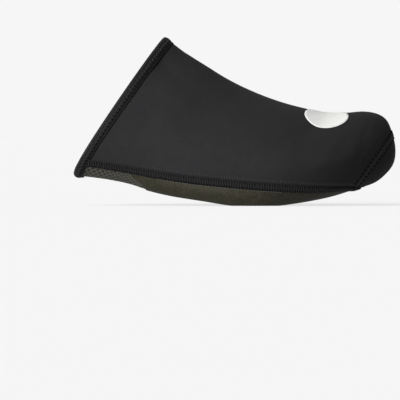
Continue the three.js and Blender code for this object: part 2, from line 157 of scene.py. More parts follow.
class ToeCoverColours(bpy.types.PropertyGroup):
    """Colours of the cover's cloths and threads."""

    neoprene: colour_of("Neoprene", "Knitted face of the upper", "#19191a")
    # The toe panel's colour is set darker than the upper's as painted shade.
    toe: colour_of("Toe panel", "Darker neoprene of the toe", "#171717")
    sole: colour_of("Sole", "Coated abrasion cloth", "#1d1c15")
    strap: colour_of("Grip strap", "Dimpled grip cloth", "#36352f")
    hem: colour_of("Hem", "Folded hem of the collar", "#0f0e0f")
    thread: colour_of("Thread", "Rungs of the flatlock seams", "#141415")
    badge: colour_of("Badge", "Reflective transfer", "#acacaa")
    # The floor glows by itself with painted light; its base colour is darker to make up for it.
    floor: colour_of("Floor", "Pale floor of the light table", "#707070")


def cover_sizes():
    return bpy.context.scene.toe_cover_sizes


def cover_colours():
    return bpy.context.scene.toe_cover_colours


# The smooth surface of the cover
def between(before, a, b, after, f):
    """The place f from 0 to 1 between a and b on a smooth curve that also passes before and after them."""
    slope_a, slope_b, rise = (b - before) / 2, (after - a) / 2, b - a
    return a + f * (slope_a + f * (3 * rise - 2 * slope_a - slope_b + f * (slope_a + slope_b - 2 * rise)))


def bezier(a, b, c, d, t):
    """A cubic curve between a and d, pulled by b and c."""
    s = 1 - t
    return s * s * s * a + 3 * s * s * t * b + 3 * s * t * t * c + t * t * t * d


def padded_columns():
    """Each column with one value before the collar and one beyond the tip, where the form comes back."""
    table = dict(zip(COLUMNS, np.array(SECTIONS).T))
    beyond = {name: values[-2] for name, values in table.items()}
    beyond["soleX"], beyond["ridgeX"] = beyond["ridgeX"], beyond["soleX"]
    beyond["soleZ"], beyond["ridgeZ"] = beyond["ridgeZ"], beyond["soleZ"]
    beyond["breadth"] = -beyond["breadth"]
    return {name: np.concatenate([[2 * v[0] - v[1]], v, [beyond[name]]]) for name, v in table.items()}


PADDED = padded_columns()


def column(name, u):
    """A column of the table at u, on a smooth curve through its rows."""
    last = len(SECTIONS) - 1
    place = np.asarray(u, float) * last
    i = np.clip(np.floor(place), 0, last - 1).astype(int)
    return between(*(PADDED[name][i + k] for k in range(4)), place - i)


def spine(u):
    """The lowest and the highest point of a section, in the plane Y = 0, as (x, z) pairs."""
    sizes = cover_sizes()
    return tuple(
        np.stack([(column(end + "X", u) - 0.5) * sizes.length, column(end + "Z", u) * sizes.height], -1)
        for end in ("sole", "ridge")
    )


def half_section(u, v):
    """One half of a section: how far across, and how high as a share of the section."""
    half = cover_sizes().ball_width / 2 * column("breadth", u)
    widest = column("widest", u)
    tread = half * column("tread", u)
    crown = half * column("crown", u)
    t = np.clip(v / FLANK_AT, 0, 1)
    pulled = widest + column("flank", u) * (1 - widest)
    flank = bezier(0, crown, half, half, t), bezier(1, 1, pulled, widest, t)
    t = np.clip((v - FLANK_AT) / (TREAD_AT - FLANK_AT), 0, 1)
    pulled = tread + (1 - EDGE_PULL) * (half - tread)
    edge = bezier(half, half, pulled, tread, t), bezier(widest, widest * (1 - EDGE_PULL), 0, 0, t)
    flat = tread * (1 - v) / (1 - TREAD_AT), np.zeros_like(half)
    across, rise = (
        np.where(v <= FLANK_AT, flank[k], np.where(v <= TREAD_AT, edge[k], flat[k])) for k in range(2)
    )
    return across, rise


def surface(u, v):
    """Points of the smooth surface."""
    u, v = np.broadcast_arrays(np.asarray(u, float), np.asarray(v, float))
    low, high = spine(u)
    across, rise = half_section(u, np.abs(v))
    run = high - low
    bow = np.maximum(np.sin(np.pi * np.maximum(rise, 0) ** BOW_SINK), 0) ** BOW_SPREAD
    bulge = cover_sizes().collar_bow * (1 - u) ** BOW_FADE * bow
    size = np.maximum(np.linalg.norm(run, axis=-1), 1e-9)
    x = low[..., 0] + rise * run[..., 0] - run[..., 1] / size * bulge
    z = low[..., 1] + rise * run[..., 1] + run[..., 0] / size * bulge
    return np.stack([x, np.sign(v) * across, np.maximum(z, 0)], -1)


def wrapped(v):
    return np.where(v > 1, v - 2, np.where(v < -1, v + 2, v))


def slopes(u, v):
    """The two directions in the surface."""
    back, ahead = np.maximum(u - STEP, 0), np.minimum(u + STEP, 1)
    along = (surface(ahead, v) - surface(back, v)) / (ahead - back)[..., None]
    around = (surface(u, wrapped(v + STEP)) - surface(u, wrapped(v - STEP))) / (2 * STEP)
    return along, around


def normals(u, v):
    u, v = np.broadcast_arrays(np.asarray(u, float), np.asarray(v, float))
    along, around = slopes(u, v)
    out = np.cross(along, around)
    out /= np.maximum(np.linalg.norm(out, axis=-1, keepdims=True), 1e-12)
    return np.where((u > 1 - STEP)[..., None], np.array([1.0, 0.0, 0.0]), out)


def offset(u, v, out):
    """Points at a distance outside the smooth surface, or inside it if out is negative."""
    return surface(u, v) + normals(u, v) * np.asarray(out, float)[..., None]


def from_collar(distance):
    """u at a distance from the collar's edge, measured halfway up its flank."""
    along, _ = slopes(np.array(STEP), np.array(FLANK_AT))
    return distance / np.linalg.norm(along)


def gap_along():
    """Half the gap between sewn pieces, in u."""
    sizes = cover_sizes()
    return sizes.sewn_gap / 2 / sizes.length


def gap_around(u, v):
    """Half the gap between sewn pieces, in v."""
    _, around = slopes(*np.broadcast_arrays(u, v))
    return cover_sizes().sewn_gap / 2 / np.linalg.norm(around, axis=-1)


# The seams' courses over the surface
def spline(points):
    """A smooth curve through points of the side view, with its ends held."""
    sizes = cover_sizes()
    p = (np.array(points) - (0.5, 0)) * (sizes.length, sizes.height)
    place = np.linspace(0, 1, COURSE_POINTS) * (len(p) - 1)
    i = np.minimum(np.floor(place), len(p) - 2).astype(int)
    before, after = p[np.maximum(i - 1, 0)], p[np.minimum(i + 2, len(p) - 1)]
    return between(before, p[i], p[i + 1], after, (place - i)[:, None])


def last_that(passes, low, high):
    """For arrays: the last value between two limits, to a fine step, that still passes a test."""
    for _ in range(40):
        middle = (low + high) / 2
        good = passes(middle)
        low, high = np.where(good, middle, low), np.where(good, high, middle)
    return low


def places_of(target):
    """The places (u, v) on one side that show at these points of the side view, and their rises."""

    def behind(u):
        low, high = spine(u)
        run, out = high - low, target - low
        return run[:, 0] * out[:, 1] - run[:, 1] * out[:, 0] < 0

    u = last_that(behind, np.zeros(len(target)), np.full(len(target), 1 - STEP))
    low, high = spine(u)
    run = high - low
    rise = ((target - low) * run).sum(1) / (run * run).sum(1)
    v = last_that(lambda v: half_section(u, v)[1] > rise, np.zeros(len(u)), np.full(len(u), TREAD_AT))
    return u, v, rise


def course(line):
    """The places (u, v) of a seam, up to where it leaves the form's side."""
    u, v, rise = places_of(spline(line))
    keep = (rise > 0) & (rise < 1)
    return u[keep], v[keep]


class Courses:
    """Where the seams divide the surface."""

    def __init__(self):
        sizes = cover_sizes()
        self.seam_u, self.seam_v = course(SOLE_SEAM_LINE)
        self.front_u = float(self.seam_u[-1])
        toe_u, toe_v = course(TOE_SEAM_LINE)
        above = toe_v < self.seam(toe_u)
        self.toe_u = np.append(toe_u[above], toe_u[above][-1])
        self.toe_v = np.append(toe_v[above], 0.0)
        self.join_u, self.join_v = float(self.toe_u[0]), float(self.toe_v[0])
        strap_u, strap_v = course(STRAP_SEAM_LINE)
        order = np.argsort(strap_v)
        self.strap_u, self.strap_v = strap_u[order], strap_v[order]
        self.start_u = from_collar(sizes.hem_width - HEM_OVERLAP)

    def seam(self, u):
        """v of the sole seam at u."""
        return np.interp(u, self.seam_u, self.seam_v)

    def toe(self, v):
        """u of the toe seam at v."""
        return np.interp(np.abs(v), self.toe_v[::-1], self.toe_u[::-1])

    def strap(self, v):
        """u of the strap's front edge at v."""
        return np.interp(np.abs(v), self.strap_v, self.strap_u)

    def cap(self, v):
        """u of the toe panel's edge at any v, round the whole toe."""
        v = np.abs(v)
        ahead = self.seam_u >= self.join_u
        under = np.interp(v, self.seam_v[ahead], self.seam_u[ahead])
        return np.where(v <= self.join_v, self.toe(v), np.where(v >= TREAD_AT, self.front_u, under))


def travelled(points):
    """How far each point of a line is from its start, along the line."""
    return np.concatenate([[0], np.cumsum(np.linalg.norm(np.diff(points, axis=0), axis=1))])


def both_sides(u, v, total=0):
    """A course carried on over the other side by way of the ridge, or of the underside if total is 2."""
    return np.append(u, u[-2::-1]), np.append(v, total - v[-2::-1])


def moved(u, v, steps):
    """The places that lie small vectors away from places on the surface."""
    along, around = slopes(u, v)
    aa, ab, bb = (along * along).sum(-1), (along * around).sum(-1), (around * around).sum(-1)
    sa, sb = (steps * along).sum(-1), (steps * around).sum(-1)
    det = aa * bb - ab * ab
    return np.clip(u + (sa * bb - sb * ab) / det, 0, 1 - STEP), wrapped(v + (sb * aa - sa * ab) / det)


def even_course(u, v, spacing):
    """The same course with even steps along the surface."""
    v = np.unwrap(v, period=2)
    gone = travelled(surface(u, wrapped(v)))
    at = np.linspace(0, gone[-1], math.ceil(gone[-1] / spacing) + 1)
    return np.interp(at, gone, u), wrapped(np.interp(at, gone, v))


def softened(u, v, reach):
    """The same course with its corners rounded, by averaging each place with its neighbours."""
    v = np.unwrap(v, period=2)
    weights = np.hanning(2 * reach + 3)[1:-1]
    weights /= weights.sum()
    rounded = []
    for values in (u, v):
        mirrored = np.pad(values, reach, mode="reflect", reflect_type="odd")
        rounded.append(np.convolve(mirrored, weights, mode="valid"))
    return rounded[0], wrapped(rounded[1])


def sideways_places(u, v, distance):
    """A course moved sideways over the surface."""
    points = surface(u, v)
    heading = np.gradient(points, axis=0)
    heading /= np.linalg.norm(heading, axis=1, keepdims=True)
    side = np.cross(normals(u, v), heading)
    return moved(u, v, side * distance)


# Meshes
def put(name, data):
    """A new object in the scene."""
    made = bpy.data.objects.new(name, data)
    bpy.context.scene.collection.objects.link(made)
    return made


def corners_of(mesh):
    """The number of the point at each corner of the faces."""
    corners = np.empty(len(mesh.loops), int)
    mesh.loops.foreach_get("vertex_index", corners)
    return corners


def without_folds(faces):
    """Faces whose corners fall together lose the doubled ones, or drop out."""
    return [list(dict.fromkeys(face)) for face in faces if len(set(face)) > 2]


def make_mesh(name, points, faces, uv=None, marks=None, second_from=None):
    """A mesh object. Faces from the number second_from on take the second material."""
    mesh = bpy.data.meshes.new(name)
    mesh.from_pydata(np.asarray(points).tolist(), [], faces)
    if uv is not None:
        layer = mesh.uv_layers.new(name="UVMap")
        layer.uv.foreach_set("vector", np.asarray(uv, np.float32)[corners_of(mesh)].ravel())
    for key, values in (marks or {}).items():
        mark = mesh.attributes.new(key, "FLOAT", "POINT")
        mark.data.foreach_set("value", np.asarray(values, np.float32).ravel())
    if second_from is not None:
        numbers = (np.arange(len(mesh.polygons)) >= second_from).astype(np.int32)
        mesh.polygons.foreach_set("material_index", numbers)
    mesh.shade_smooth()
    mesh.set_sharp_from_angle(angle=math.radians(SHARP_ANGLE))
    mesh.update()
    return put(name, mesh)


def grid_uv(points):
    """Distances over a grid of points: along its middle column, and from the middle of each row."""
    along = np.linalg.norm(np.diff(points, axis=0), axis=2)
    across = np.linalg.norm(np.diff(points, axis=1), axis=2)
    down = np.concatenate([np.zeros((1, along.shape[1])), np.cumsum(along, 0)])
    over = np.concatenate([np.zeros((across.shape[0], 1)), np.cumsum(across, 1)], 1)
    over -= over[:, [over.shape[1] // 2]]
    return np.stack([down, over], -1)


def wall(name, outer, inner, closed=False, pole=False, marks=None, lined=False):
    """A closed wall between two grids of points. Its rows run round the cover, with v rising.

    closed: the last column joins the first. pole: the last row is one point.
    """
    rows, cols = outer.shape[:2]
    number = np.arange(rows * cols).reshape(rows, cols)
    if pole:
        number[-1] = number[-1, 0]
    if closed:
        number = np.concatenate([number, number[:, :1]], 1)
    a, b, c, d = number[:-1, :-1], number[:-1, 1:], number[1:, :-1], number[1:, 1:]
    shift = rows * cols
    outside = np.stack([a, c, d, b], -1).reshape(-1, 4)
    inside = np.stack([a, b, d, c], -1).reshape(-1, 4) + shift

    def rim(edge):
        first, second = edge[:-1], edge[1:]
        return np.stack([first, second, second + shift, first + shift], -1)

    rims = [rim(number[0])]
    if not pole:
        rims.append(rim(number[-1][::-1]))
    if not closed:
        rims += [rim(number[::-1, 0]), rim(number[:, -1])]
    front = without_folds(np.concatenate([outside, *rims]).tolist())
    faces = front + without_folds(inside.tolist())
    points = np.concatenate([outer.reshape(-1, 3), inner.reshape(-1, 3)])
    uv = np.tile(grid_uv(outer).reshape(-1, 2), (2, 1))
    marks = {key: np.tile(value.ravel(), 2) for key, value in (marks or {}).items()}
    made = make_mesh(name, points, faces, uv, marks, len(front) if lined else None)
    drop_loose(made)
    return made


def drop_loose(piece):
    """Removes what is left round a pole: points that no face uses, and slivers thinner than a few microns."""
    mesh = piece.data
    if len(np.unique(corners_of(mesh))) < len(mesh.vertices):
        work = bmesh.new()
        work.from_mesh(mesh)
        bmesh.ops.delete(work, geom=[v for v in work.verts if not v.link_faces], context="VERTS")
        bmesh.ops.remove_doubles(work, verts=work.verts, dist=0.005 * MM)
        work.to_mesh(mesh)
        work.free()


def creases(points):
    """How far the upper's face stands out at these points, in metres."""
    sizes = cover_sizes()
    x = points[..., 0] + sizes.length / 2
    z = points[..., 2]
    total = np.zeros(x.shape)
    for along, up, turn, length, width, rise in CREASES:
        c, s = math.cos(math.radians(turn)), math.sin(math.radians(turn))
        dx, dz = x - along * sizes.length, z - up * sizes.height
        lengthways, sideways = dx * c + dz * s, dz * c - dx * s
        reach = (lengthways / (length * MM / 2)) ** 2 + (sideways / (width * MM / 2)) ** 2
        total += rise * MM * np.exp(-reach)
    return total


def finish_piece(piece, slot, nodes, *materials):
    """Gives a piece its materials, lets it ride on the cover, and hides the CAD nodes that it stands for."""
    for material in materials:
        piece.data.materials.append(material)
    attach(piece, "root")
    if nodes:
        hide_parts(*nodes)


# Threads, by geometry nodes
def add_node(tree, kind, settings=None, inputs=None):
    """Adds a node with its settings. An input that is a socket is linked, and any other is set."""
    made = tree.nodes.new(kind)
    for key, value in (settings or {}).items():
        setattr(made, key, value)
    for key, value in (inputs or {}).items():
        if isinstance(value, bpy.types.NodeSocket):
            tree.links.new(value, made.inputs[key])
        else:
            made.inputs[key].default_value = value
    return made


THREAD_SIZES = ("Pitch", "Length", "Width", "Height")
THREAD_TURNS = ("Turn", "Swing", "Unevenness")


def stitch_tree():
    """Stitches at an even pitch along guide lines, which carry the direction out of the cloth."""
    tree = bpy.data.node_groups.get("toe_cover_stitches")
    if tree:
        return tree
    tree = bpy.data.node_groups.new("toe_cover_stitches", "GeometryNodeTree")
    labels = [("Guide", "Geometry"), *((label, "Float") for label in THREAD_SIZES + THREAD_TURNS)]
    for label, kind in (*labels, ("Seed", "Int"), ("Thread", "Material")):
        tree.interface.new_socket(label, in_out="INPUT", socket_type="NodeSocket" + kind)
    tree.interface.new_socket("Stitches", in_out="OUTPUT", socket_type="NodeSocketGeometry")

    def made(kind, inputs=None, settings=None, output=0):
        return add_node(tree, kind, settings, inputs).outputs[output]

    def times_plus(a, b, c):
        return made("ShaderNodeMath", {0: a, 1: b, 2: c}, {"operation": "MULTIPLY_ADD"})

    given = add_node(tree, "NodeGroupInput").outputs
    curve = made("GeometryNodeMeshToCurve", {"Mesh": given["Guide"]})
    even = made("GeometryNodeResampleCurve", {"Curve": curve, "Length": given["Pitch"]}, {"mode": "LENGTH"})
    out = made("GeometryNodeInputNamedAttribute", {"Name": "out"}, {"data_type": "FLOAT_VECTOR"})
    tangent = made("GeometryNodeInputTangent")
    along = made("FunctionNodeAlignRotationToVector", {"Vector": tangent}, {"axis": "X"})
    facing = {"Rotation": along, "Vector": out}
    upright = made("FunctionNodeAlignRotationToVector", facing, {"axis": "Z", "pivot_axis": "X"})
    parity = made("ShaderNodeMath", {0: made("GeometryNodeInputIndex"), 1: 2.0}, {"operation": "MODULO"})
    swing = times_plus(times_plus(parity, 2.0, -1.0), given["Swing"], given["Turn"])
    limits = {2: -1.0, 3: 1.0, "Seed": given["Seed"]}
    chance = made("FunctionNodeRandomValue", limits, {"data_type": "FLOAT"}, 1)
    angle = times_plus(chance, given["Unevenness"], swing)
    spin = made("FunctionNodeEulerToRotation", {0: made("ShaderNodeCombineXYZ", {"Z": angle})})
    turning = {"Rotation": upright, "Rotate By": spin}
    turned = made("FunctionNodeRotateRotation", turning, {"rotation_space": "LOCAL"})
    bead = made("GeometryNodeMeshUVSphere", {"Segments": 8, "Rings": 5, "Radius": 0.5})
    smooth = made("GeometryNodeSetShadeSmooth", {"Geometry": bead})
    size = made("ShaderNodeCombineXYZ", dict(zip("XYZ", (given[label] for label in THREAD_SIZES[1:]))))
    placing = {"Points": even, "Instance": smooth, "Rotation": turned, "Scale": size}
    real = made("GeometryNodeRealizeInstances", {0: made("GeometryNodeInstanceOnPoints", placing)})
    dressed = made("GeometryNodeSetMaterial", {"Geometry": real, "Material": given["Thread"]})
    add_node(tree, "NodeGroupOutput", inputs={0: dressed})
    return tree


def guide(name, lines):
    """A mesh of guide lines. Each is (points, directions out of the cloth, whether it closes)."""
    points, out, edges = [], [], []
    for line, away, closed in lines:
        start = len(points)
        points += line.tolist()
        out += away.tolist()
        edges += [(k, k + 1) for k in range(start, len(points) - 1)]
        if closed:
            edges.append((len(points) - 1, start))
    mesh = bpy.data.meshes.new(name)
    mesh.from_pydata(points, edges, [])
    mark = mesh.attributes.new("out", "FLOAT_VECTOR", "POINT")
    mark.data.foreach_set("vector", np.asarray(out, np.float32).ravel())
    return put(name, mesh)


def applied(piece):
    """Turns a piece's modifiers into its mesh."""
    bpy.context.view_layer.update()
    graph = bpy.context.evaluated_depsgraph_get()
    mesh = bpy.data.meshes.new_from_object(piece.evaluated_get(graph))
    piece.modifiers.clear()
    piece.data = mesh


def sew(name, slot, lines, thread, sizes, **turns):
    """Stitches of one thread along guide lines. sizes: pitch, length, width and height."""
    tree = stitch_tree()
    made = guide(name, lines)
    modifier = made.modifiers.new("stitches", "NODES")
    modifier.node_group = tree
    given = {"Turn": 0.0, "Swing": 0.0, "Unevenness": 0.05, "Seed": cover_sizes().seed, "Thread": thread}
    given.update(zip(THREAD_SIZES, sizes), **turns)
    for socket in tree.interface.items_tree:
        if socket.in_out == "INPUT" and socket.name in given:
            modifier[socket.identifier] = given[socket.name]
    made.update_tag()
    applied(made)
    made.data.name = name
    finish_piece(made, slot, [])


def mm(*values):
    return tuple(value * MM for value in values)


def course_line(u, v, out, closed=False):
    return offset(u, v, out), normals(u, v), closed


# Materials
def finish(name, look, roughness, gloss, **others):
    """A material named for its finish. look(tree, place) gives its colour and its bump, or None."""
    material = bpy.data.materials.get(name)
    if material:
        return material
    material = bpy.data.materials.new(name)
    material.use_nodes = True
    tree = material.node_tree
    inputs = tree.nodes["Principled BSDF"].inputs
    colour, normal = look(tree, add_node(tree, "ShaderNodeTexCoord").outputs["Object"])
    tree.links.new(colour, inputs["Base Color"])
    if normal is not None:
        tree.links.new(normal, inputs["Normal"])
    inputs["Roughness"].default_value = roughness
    inputs["Specular IOR Level"].default_value = gloss
    for label, value in others.items():
        inputs[label.replace("_", " ")].default_value = value
    return material


def noise(tree, vector, size, detail=2.0, roughness=0.5):
    """Noise whose grains are about a size across, in millimetres, as a factor."""
    inputs = {"Vector": vector, "Scale": 1 / (size * MM), "Detail": detail, "Roughness": roughness}
    return add_node(tree, "ShaderNodeTexNoise", None, inputs).outputs["Fac"]


def marked(tree, name):
    """A share painted on a piece's points."""
    return add_node(tree, "ShaderNodeAttribute", {"attribute_name": name}).outputs["Fac"]


def ramp(tree, factor, *stops):
    """A colour ramp with stops (place, linear colour)."""
    made = add_node(tree, "ShaderNodeValToRGB", None, {"Fac": factor})
    elements = made.color_ramp.elements
    while len(elements) < len(stops):
        elements.new(0.5)
    for element, (place, colour) in zip(elements, stops):
        element.position = place
        element.color = (*colour, 1)
    return made.outputs["Color"]


def shade(colour, factor):
    """A colour made darker or lighter by a factor."""
    return tuple(min(c * factor, 1) for c in colour)


def tones(tree, factor, colour, *stops):
    """A ramp over one colour made darker and lighter, with stops (place, factor)."""
    return ramp(tree, factor, *((place, shade(colour, by)) for place, by in stops))


def bump(tree, height, rise, under=None):
    """Bump of a rise in millimetres, over another bump where there is one."""
    inputs = {"Height": height, "Distance": rise * MM, "Strength": 1.0}
    if under is not None:
        inputs["Normal"] = under
    return add_node(tree, "ShaderNodeBump", None, inputs).outputs["Normal"]


def mix(tree, factor, a, b, kind="MIX"):
    """Mixes two colours, which are sockets or linear colours."""
    inputs = {0: factor}
    for key, value in ((6, a), (7, b)):
        inputs[key] = value if isinstance(value, bpy.types.NodeSocket) else (*value, 1)
    return add_node(tree, "ShaderNodeMix", {"data_type": "RGBA", "blend_type": kind}, inputs).outputs[2]


TOE_PAINTED_SHADE_RANGE = (0.015, 0.085)  # X over which painted shade darkens the neoprene towards the toe
TOE_PAINTED_SHADE_STOPS = ((0, 1), (0.4, 0.76), (0.6, 0.6), (0.8, 0.44))


def neoprene_jersey(name, colour, roughness, sheen):
    """Foam neoprene with a knitted polyamide face: dead matt, with a faint bloom, and with painted shade that
    darkens it towards the toe.
    """

    def look(tree, place):
        cloud = noise(tree, place, 26, 3)
        patch = noise(tree, place, 7, 3, 0.6)
        knit = noise(tree, place, 0.9, 1)  # real loops are 0.4 mm, drawn coarser so that they show
        tone = tones(tree, cloud, colour, (0.3, 0.86), (0.7, 1.12))
        tone = mix(tree, 0.35, tone, tones(tree, patch, colour, (0.35, 0.8), (0.7, 1.18)))
        tone = mix(tree, 0.22, tone, tones(tree, knit, colour, (0.3, 0.55), (0.7, 1.5)))
        # painted shade: the colour is multiplied darker from the middle towards the toe
        ahead = add_node(tree, "ShaderNodeSeparateXYZ", None, {"Vector": place}).outputs["X"]
        reach = {"Value": ahead, "From Min": TOE_PAINTED_SHADE_RANGE[0], "From Max": TOE_PAINTED_SHADE_RANGE[1]}
        toe_shade_share = add_node(tree, "ShaderNodeMapRange", None, reach).outputs["Result"]
        tone = mix(tree, 1.0, tone, tones(tree, toe_shade_share, (1, 1, 1), *TOE_PAINTED_SHADE_STOPS), "MULTIPLY")
        return tone, bump(tree, knit, 0.10, bump(tree, patch, 0.22))

    return finish(name, look, roughness, 0.07, Sheen_Weight=sheen, Sheen_Roughness=0.6)


def fleece_lining():
    """Brushed loop lining of the cloth's inner face: soft, uneven and without any gloss."""

    def look(tree, place):
        tuft = noise(tree, place, 1.4, 3, 0.65)
        return ramp(tree, tuft, (0.3, srgb("#17171a")), (0.75, srgb("#3b3b3f"))), bump(tree, tuft, 0.5)

    return finish("brushed_fleece_lining", look, 0.95, 0.05, Sheen_Weight=0.05)


def coated_sole_cloth(colour):
    """Woven polyamide with a rubbery polyurethane coat: dull and olive, and paler along the seam."""

    def look(tree, place):
        grain = noise(tree, place, 1.5, 3, 0.65)
        cloud = noise(tree, place, 8, 3)
        olive = (colour[0] * 0.68, colour[1] * 0.88, colour[2] * 0.5)
        brown = (colour[0] * 1.55, colour[1] * 1.3, colour[2] * 1.1)
        tone = ramp(tree, cloud, (0.3, olive), (0.7, brown))
        # paler along the seam
        tone = mix(tree, marked(tree, "paler_near_seam"), tone, srgb("#45433a"))
        tone = mix(tree, marked(tree, "shaded"), tone, srgb("#14130d"))
        tone = mix(tree, 0.5, tone, tones(tree, grain, colour, (0.32, 0.3), (0.72, 2.4)))
        return tone, bump(tree, grain, 0.16)

    return finish("polyurethane_coated_cloth", look, 0.62, 0.12)


def dimpled_grip_cloth(colour):
    """Moulded grip cloth: paler and slightly rubbery, with rows of dark dimples pressed into it."""

    def look(tree, place):
        grain = noise(tree, place, 0.9, 2)
        tone = tones(tree, grain, colour, (0.3, 0.85), (0.7, 1.15))
        return mix(tree, marked(tree, "dimple"), tone, srgb("#0f0f0d")), bump(tree, grain, 0.06)

    return finish("dimpled_grip_cloth", look, 0.6, 0.12)


def knitted_hem(colour):
    """Knitted elastane folded over the edge: finely ribbed, with a slight satin."""

    def look(tree, place):
        knit = noise(tree, place, 0.9, 2, 0.6)
        patch = noise(tree, place, 4, 2)
        tone = tones(tree, knit, colour, (0.32, 0.55), (0.7, 1.55))
        tone = mix(tree, 0.3, tone, tones(tree, patch, colour, (0.35, 0.7), (0.7, 1.3)))
        return tone, bump(tree, knit, 0.14)

    return finish("knitted_elastane_binding", look, 0.7, 0.09, Sheen_Weight=0.02)


def spun_thread(name, colour, roughness=0.55, gloss=0.12):
    """Spun polyester thread: fine twisted fibres that catch a little light, or hardly any where sunk."""

    def look(tree, place):
        return tones(tree, noise(tree, place, 0.5, 1), colour, (0.3, 0.7), (0.7, 1.3)), None

    return finish(name, look, roughness, gloss)


def reflective_transfer(colour):
    """Glass-bead reflective film, heat-pressed on: pale grey, smooth, with a fine sparkle of beads."""

    def look(tree, place):
        bead = noise(tree, place, 0.8, 1)  # beads are 0.05 mm, drawn coarser so that they show
        return tones(tree, bead, colour, (0.3, 0.94), (0.7, 1.04)), bump(tree, bead, 0.02)

    return finish("glass_bead_reflective_film", look, 0.5, 0.5, Coat_Weight=0.08, Coat_Roughness=0.4)


def painted_light_floor(colour):
    """A pale, matt floor that glows by itself, painted light that no lamp gives, so that a shadow on it stays
    faint.
    """

    def look(tree, place):
        return tones(tree, noise(tree, place, 300, 2), colour, (0.3, 0.995), (0.7, 1)), None

    # painted light: the floor emits light of its own
    glow = {"Emission_Color": (*srgb(PALE), 1), "Emission_Strength": FLOOR_GLOW}
    return finish("glowing_floor_painted_light", look, 0.9, 0.0, **glow)


def lined_cloth(name, node, u, v, face, back, material, **options):
    """A piece of lined cloth between two distances from the smooth surface."""
    piece = wall(name, offset(u, v, face), offset(u, v, back), lined=True, **options)
    finish_piece(piece, node, [node], material, fleece_lining())


# Rows and columns of the cloths' grids
UPPER_GRID = (171, 161)
TOE_GRID = (61, 181)
SOLE_GRID = (141, 141)
STRAP_GRID = (101, 221)
TOE_ROWS_PULL = 0.85  # under 1, packs the toe panel's rows towards the tip


class ToeCoverOperator:
    """What the cover's operators share."""

    bl_options = {"REGISTER", "UNDO"}

    @property
    def sizes(self):
        return cover_sizes()

    @property
    def colours(self):
        return cover_colours()


class TOECOVER_OT_upper(ToeCoverOperator, bpy.types.Operator):
    """Builds the neoprene upper"""

    bl_idname = "toe_cover.upper"
    bl_label = "Upper"

    def execute(self, context):
        courses = Courses()
        rows, cols = UPPER_GRID
        a = np.linspace(-1, 1, cols)[None, :]
        t = np.linspace(0, 1, rows)[:, None]
        end = courses.toe(np.abs(a) * courses.join_v) - gap_along()
        u = courses.start_u + t * (end - courses.start_u)
        limit = np.where(u <= courses.join_u, courses.seam(u), courses.join_v)
        v = a * limit
        v = v * (1 - gap_around(u, v) / limit)
        fold = creases(surface(u, v))
        jersey = neoprene_jersey("knit_faced_neoprene", self.colours.neoprene[:], 0.88, 0.015)
        lined_cloth("upper_cloth", "upper", u, v, fold, fold - self.sizes.wall, jersey)
        return {"FINISHED"}


class TOECOVER_OT_toe_panel(ToeCoverOperator, bpy.types.Operator):
    """Builds the neoprene panel over the tip of the toe"""

    bl_idname = "toe_cover.toe_panel"
    bl_label = "Toe panel"

    def execute(self, context):
        courses = Courses()
        rows, cols = TOE_GRID
        v = np.linspace(-1, 1, cols)[None, :-1]
        t = np.linspace(0, 1, rows)[:, None] ** TOE_ROWS_PULL
        start = courses.cap(v) + gap_along()
        u, v = np.broadcast_arrays(start + t * (1 - start), v)
        fold = creases(surface(u, v)) * (1 - t) ** 0.5  # no crease at the tip
        # the darker toe colour is painted shade
        jersey = neoprene_jersey("shade_darkened_knit_faced_neoprene", self.colours.toe[:], 0.82, 0.01)
        round_toe = {"closed": True, "pole": True}
        lined_cloth("toe_panel_cloth", "toe_panel", u, v, fold, fold - self.sizes.wall, jersey, **round_toe)
        return {"FINISHED"}


OPENING_LENGTH = 0.058
OPENING_WIDTH = 0.046
OPENING_CORNER = 0.015
OPENING_FROM_TOE = 0.052
BINDING_WIDTH = 0.0036
BINDING_OVERLAP = 0.0004
BINDING_SWELL = 0.0005  # how much thicker the binding is than the sole
BINDING_LIFT = 0.00025  # leaves room above the floor for the stitches


def opening_outline(grow, count):
    """The cleat opening's rounded outline, anticlockwise from above, and its directions outwards."""
    middle = cover_sizes().length / 2 - OPENING_FROM_TOE - OPENING_LENGTH / 2
    straight_x = OPENING_LENGTH / 2 - OPENING_CORNER
    straight_y = OPENING_WIDTH / 2 - OPENING_CORNER
    radius = OPENING_CORNER + grow
    points, out = [], []
    for corner, (sx, sy) in enumerate(((1, 1), (-1, 1), (-1, -1), (1, -1))):
        for k in range(count):
            turn = math.pi / 2 * (corner + k / (count - 1))
            away = (math.cos(turn), math.sin(turn))
            points.append((middle + sx * straight_x + radius * away[0], sy * straight_y + radius * away[1]))
            out.append(away)
    both = np.concatenate([points + points[:1], out + out[:1]], 1)
    gone = travelled(both[:, :2])
    at = np.linspace(0, gone[-1], 8 * count, endpoint=False)
    even = np.stack([np.interp(at, gone, values) for values in both.T], 1)
    return even[:, :2], even[:, 2:] / np.linalg.norm(even[:, 2:], axis=1, keepdims=True)


def underside(x):
    """Height of the flat underside above the floor."""
    low, _ = spine(np.linspace(0, 1, 600))
    return np.maximum(np.interp(x, low[:, 0], low[:, 1]), 0)


def cut_opening(piece):
    """Cuts the cleat opening through the sole's cloth, so that the binding covers the cut edge."""
    edge, _ = opening_outline(BINDING_WIDTH - BINDING_OVERLAP, 14)
    count = len(edge)
    depth = 0.02
    points = [(x, y, z) for z in (-depth, depth) for x, y in edge.tolist()]
    faces = [list(range(count))[::-1], list(range(count, 2 * count))]
    faces += [[k, (k + 1) % count, count + (k + 1) % count, count + k] for k in range(count)]
    cutter = make_mesh("opening_cutter", points, faces)
    modifier = piece.modifiers.new("opening", "BOOLEAN")
    modifier.operation = "DIFFERENCE"
    modifier.solver = "EXACT"
    modifier.object = cutter
    applied(piece)
    bpy.data.objects.remove(cutter)


